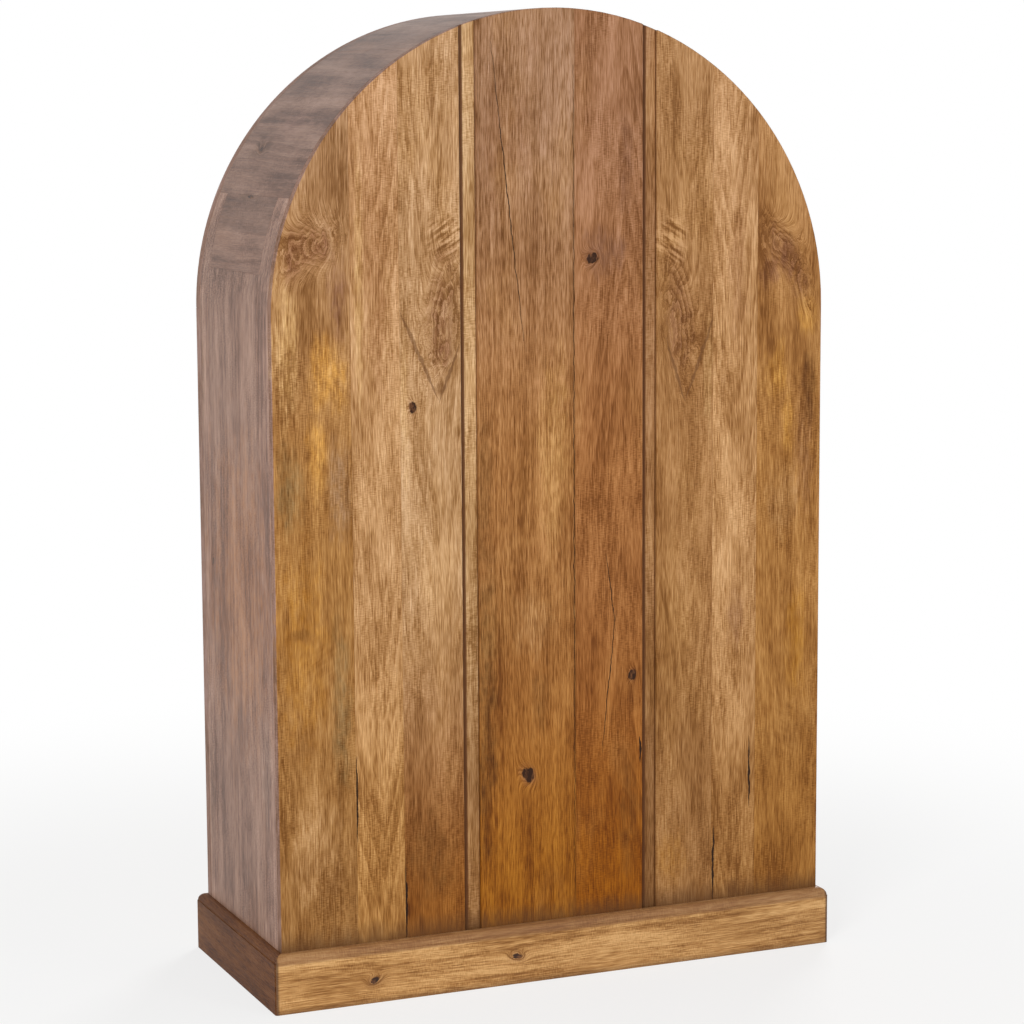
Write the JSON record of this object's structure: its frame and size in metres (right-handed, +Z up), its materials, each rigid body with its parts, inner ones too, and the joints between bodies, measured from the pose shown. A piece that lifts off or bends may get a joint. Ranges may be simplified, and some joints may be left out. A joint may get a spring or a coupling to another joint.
{
  "type": "arched cabinet",
  "caption": "Tall arched wooden cabinet with a pair of carved half-arch doors, shelves, a coopered hood, a boarded back and a moulded plinth.",
  "frame": {"origin": "on the floor under the middle of the plinth", "axes": "+X to the right seen from the front, +Y from the doors to the back, +Z up"},
  "size_m": [1.136, 0.478, 1.8],
  "materials": {
    "back_wood": "waxed golden-brown mango wood with strong figure",
    "side_wood": "waxed grey-brown wood with a soft sheen",
    "plinth_wood": "waxed brown wood",
    "front_wood": "waxed brown wood",
    "carved_wood": "carved brown wood, darker in the hollows",
    "inside_wood": "plain oiled wood",
    "brass": "aged dark brass",
    "steel": "plain steel",
    "catch_case": "brown moulded case"
  },
  "bodies": {
    "cabinet": {"back_plank_1": "back_wood", "back_plank_2": "back_wood", "back_plank_3": "back_wood", "back_plank_4": "back_wood", "back_plank_5": "back_wood", "back_plank_6": "back_wood", "back_plank_7": "back_wood", "back_plank_8": "back_wood", "back_strip_left": "back_wood", "back_strip_right": "back_wood", "side_board_left": "side_wood", "side_board_right": "side_wood", "side_posts_left": "side_wood", "side_posts_right": "side_wood", "hood_staves_left": "side_wood", "hood_staves_right": "side_wood", "hood_staves_crown": "side_wood", "plinth_front": "plinth_wood", "plinth_back": "plinth_wood", "plinth_left": "plinth_wood", "plinth_right": "plinth_wood", "frame_stile_left": "front_wood", "frame_stile_right": "front_wood", "frame_arch_left": "front_wood", "frame_arch_right": "front_wood", "frame_bottom_rail": "front_wood", "bottom_board": "inside_wood", "shelf_lower": "inside_wood", "shelf_middle": "inside_wood", "shelf_upper": "inside_wood", "shelf_cleats": "inside_wood", "corner_blocks": "inside_wood", "magnetic_catches": "catch_case", "hinge_frame_leaves_left": "brass", "hinge_pins_left": "brass", "hinge_frame_leaves_right": "brass", "hinge_pins_right": "brass"},
    "door_left": {"door_left_hinge_stile": "front_wood", "door_left_meeting_stile": "front_wood", "door_left_bottom_rail": "front_wood", "door_left_lock_rail": "front_wood", "door_left_arched_rail": "front_wood", "door_left_lower_panel": "carved_wood", "door_left_upper_panel": "carved_wood", "door_left_catch_plate": "steel", "hinge_door_leaves_left": "brass", "pull_plate_left": "brass"},
    "ring_left": {"pull_ring_left": "brass"},
    "door_right": {"door_right_hinge_stile": "front_wood", "door_right_meeting_stile": "front_wood", "door_right_bottom_rail": "front_wood", "door_right_lock_rail": "front_wood", "door_right_arched_rail": "front_wood", "door_right_lower_panel": "carved_wood", "door_right_upper_panel": "carved_wood", "door_right_catch_plate": "steel", "hinge_door_leaves_right": "brass", "pull_plate_right": "brass"},
    "ring_right": {"pull_ring_right": "brass"}
  },
  "joints": [
    {"name": "door_left_hinge", "type": "hinge", "parent": "cabinet", "child": "door_left", "pos_m": [-0.489, -0.2265, 0.701], "axis": [0, 0, -1], "range_deg": [0, 160]},
    {"name": "door_right_hinge", "type": "hinge", "parent": "cabinet", "child": "door_right", "pos_m": [0.489, -0.2265, 0.701], "axis": [0, 0, 1], "range_deg": [0, 160]},
    {"name": "ring_left_swing", "type": "hinge", "parent": "door_left", "child": "ring_left", "pos_m": [-0.0265, -0.227, 0.93], "axis": [-1, 0, 0], "range_deg": [0, 110]},
    {"name": "ring_right_swing", "type": "hinge", "parent": "door_right", "child": "ring_right", "pos_m": [0.0265, -0.227, 0.93], "axis": [-1, 0, 0], "range_deg": [0, 110]}
  ]
}
